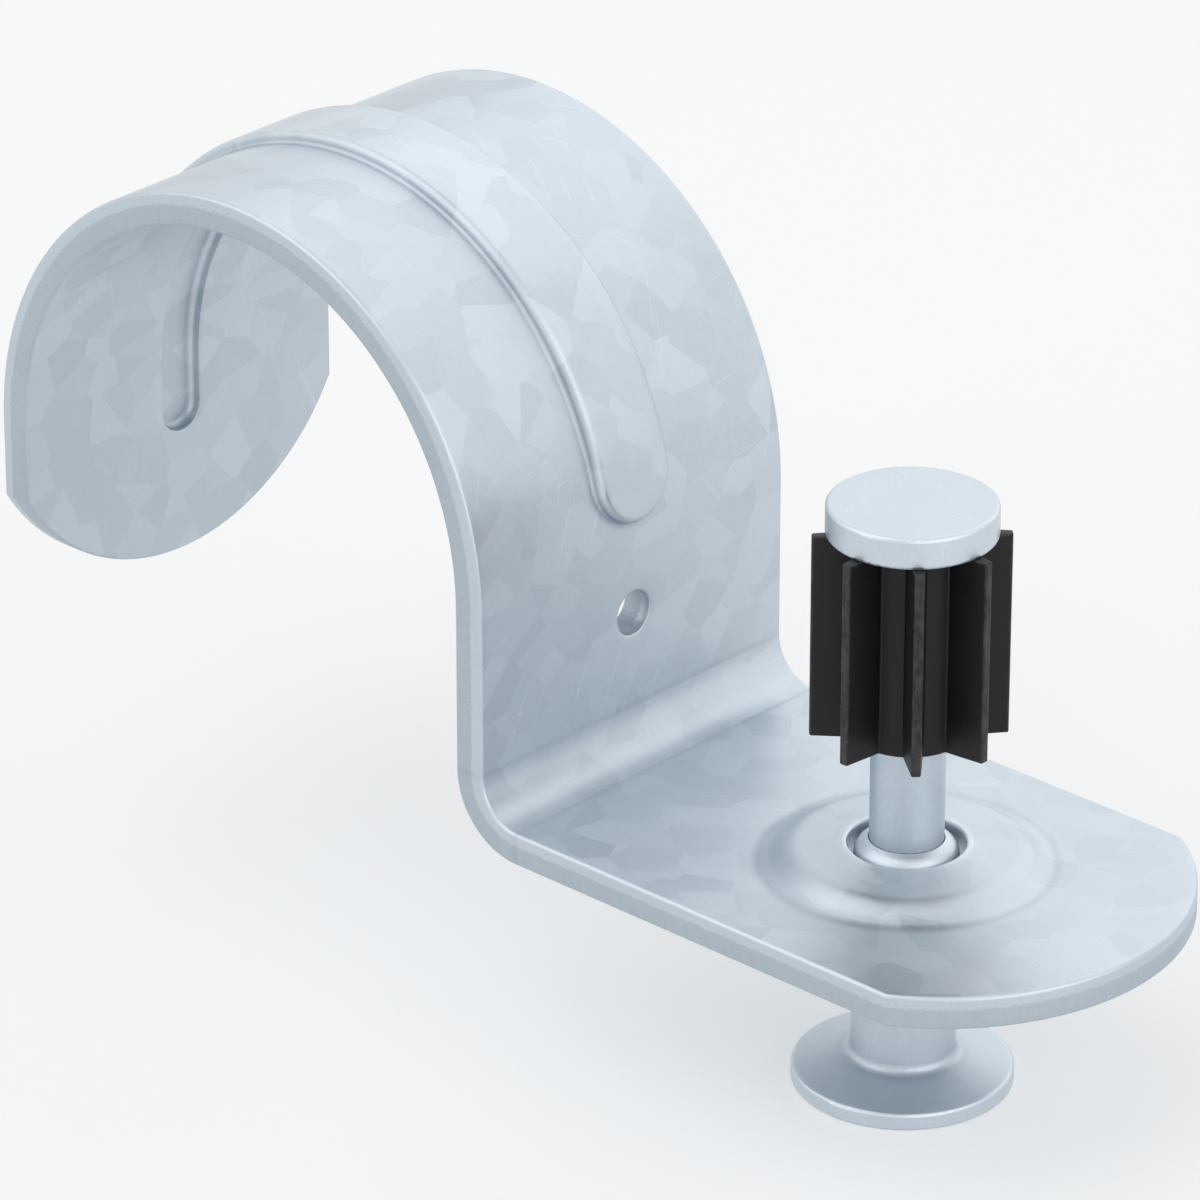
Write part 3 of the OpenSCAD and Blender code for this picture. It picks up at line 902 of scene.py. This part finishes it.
def lay_floor(stage):
    """A wide pale floor just under the clip."""
    bm = bmesh.new()
    bmesh.ops.create_grid(bm, x_segments=1, y_segments=1, size=stage.floor_size / 2)
    bmesh.ops.translate(bm, verts=bm.verts, vec=(0, 0, CAD_BOX[0].z - FLOOR_GAP))
    data = bpy.data.meshes.new("floor")
    bm.to_mesh(data)
    bm.free()
    floor = bpy.data.objects.new("floor", data)
    bpy.context.scene.collection.objects.link(floor)
    give_finish(floor, floor_finish(stage))


def hang_lamp(name, place, size, power):
    """One soft square lamp that looks at the clip."""
    lamp = bpy.data.lights.new(name, "AREA")
    lamp.shape = "SQUARE"
    lamp.size = size
    lamp.energy = power
    thing = bpy.data.objects.new(name, lamp)
    thing.location = place
    thing.rotation_euler = (Vector(LAMP_AIM) - Vector(place)).to_track_quat("-Z", "Y").to_euler()
    bpy.context.scene.collection.objects.link(thing)


def place_camera(stage):
    """The drawing's angle: a long lens that looks down at the clip from its near side."""
    camera = bpy.data.cameras.new("camera")
    camera.sensor_width = 36.0
    camera.lens = stage.lens
    camera.clip_start = 0.01
    camera.clip_end = 20.0
    thing = bpy.data.objects.new("camera", camera)
    thing.location = stage.eye
    thing.rotation_euler = (math.pi / 2 - stage.tilt, 0.0, stage.heading)
    bpy.context.scene.collection.objects.link(thing)
    bpy.context.scene.camera = thing


class CLIP_OT_strap(bpy.types.Operator):
    """Press and bend the strap in galvanised sheet"""

    bl_idname = "clip.press_strap"
    bl_label = "Press strap"

    def execute(self, context):
        plan = strap_plan(context.scene.clip_strap)
        finish = strap_finish(context.scene.clip_zinc, plan)
        set_piece(bend_strap(plan), finish, "strap", "strap")
        return {"FINISHED"}


class CLIP_OT_thimble(bpy.types.Operator):
    """Finish the thimble as drawn and plated steel"""

    bl_idname = "clip.finish_thimble"
    bl_label = "Finish thimble"

    def execute(self, context):
        give_finish(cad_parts.get("thimble"), thimble_finish(context.scene.clip_zinc))
        return {"FINISHED"}


class CLIP_OT_pin(bpy.types.Operator):
    """Finish the drive pin as plated steel"""

    bl_idname = "clip.finish_pin"
    bl_label = "Finish drive pin"

    def execute(self, context):
        give_finish(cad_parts.get("drive_pin"), pin_finish(context.scene.clip_zinc))
        return {"FINISHED"}


class CLIP_OT_sleeve(bpy.types.Operator):
    """Mould the fluted sleeve and put it on the drive pin"""

    bl_idname = "clip.mould_sleeve"
    bl_label = "Mould sleeve"

    def execute(self, context):
        look = context.scene.clip_sleeve
        set_piece(mould_sleeve(in_mm(look)), sleeve_finish(look), "pin", "guide_sleeve")
        return {"FINISHED"}


class CLIP_OT_stage(bpy.types.Operator):
    """Set the floor, the lamps and the camera"""

    bl_idname = "clip.set_stage"
    bl_label = "Set stage"

    def execute(self, context):
        stage = context.scene.clip_stage
        context.scene.view_settings.view_transform = "Standard"
        studio_world(stage)
        lay_floor(stage)
        for name, (place, size) in LAMPS.items():
            hang_lamp(f"{name}_lamp", place, size, getattr(stage, name))
        place_camera(stage)
        return {"FINISHED"}


class CLIP_PT_looks(bpy.types.Panel):
    """Pieces, finishes and stage of the clip"""

    bl_idname = "CLIP_PT_looks"
    bl_label = "Conduit clip"
    bl_space_type = "VIEW_3D"
    bl_region_type = "UI"
    bl_category = "Clip"

    def draw(self, context):
        scene = context.scene
        groups = (
            (scene.clip_strap, (CLIP_OT_strap,)),
            (scene.clip_zinc, (CLIP_OT_thimble, CLIP_OT_pin)),
            (scene.clip_sleeve, (CLIP_OT_sleeve,)),
            (scene.clip_stage, (CLIP_OT_stage,)),
        )
        for look, operators in groups:
            box = self.layout.box()
            for name in look.__annotations__:
                box.prop(look, name)
            for operator in operators:
                box.operator(operator.bl_idname)


GROUPS = {"clip_strap": StrapShape, "clip_zinc": ZincLook, "clip_sleeve": SleeveLook, "clip_stage": StageLook}
OPERATORS = (CLIP_OT_strap, CLIP_OT_thimble, CLIP_OT_pin, CLIP_OT_sleeve, CLIP_OT_stage)
CLASSES = (*GROUPS.values(), *OPERATORS, CLIP_PT_looks)


def register():
    for made in CLASSES:
        bpy.utils.register_class(made)
    for name, group in GROUPS.items():
        setattr(bpy.types.Scene, name, PointerProperty(type=group))


def unregister():
    for name in GROUPS:
        delattr(bpy.types.Scene, name)
    for made in reversed(CLASSES):
        bpy.utils.unregister_class(made)


def build():
    """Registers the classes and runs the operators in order."""
    register()
    bpy.ops.clip.press_strap()
    bpy.ops.clip.finish_thimble()
    bpy.ops.clip.finish_pin()
    bpy.ops.clip.mould_sleeve()
    bpy.ops.clip.set_stage()


if __name__ == "__main__":
    build()
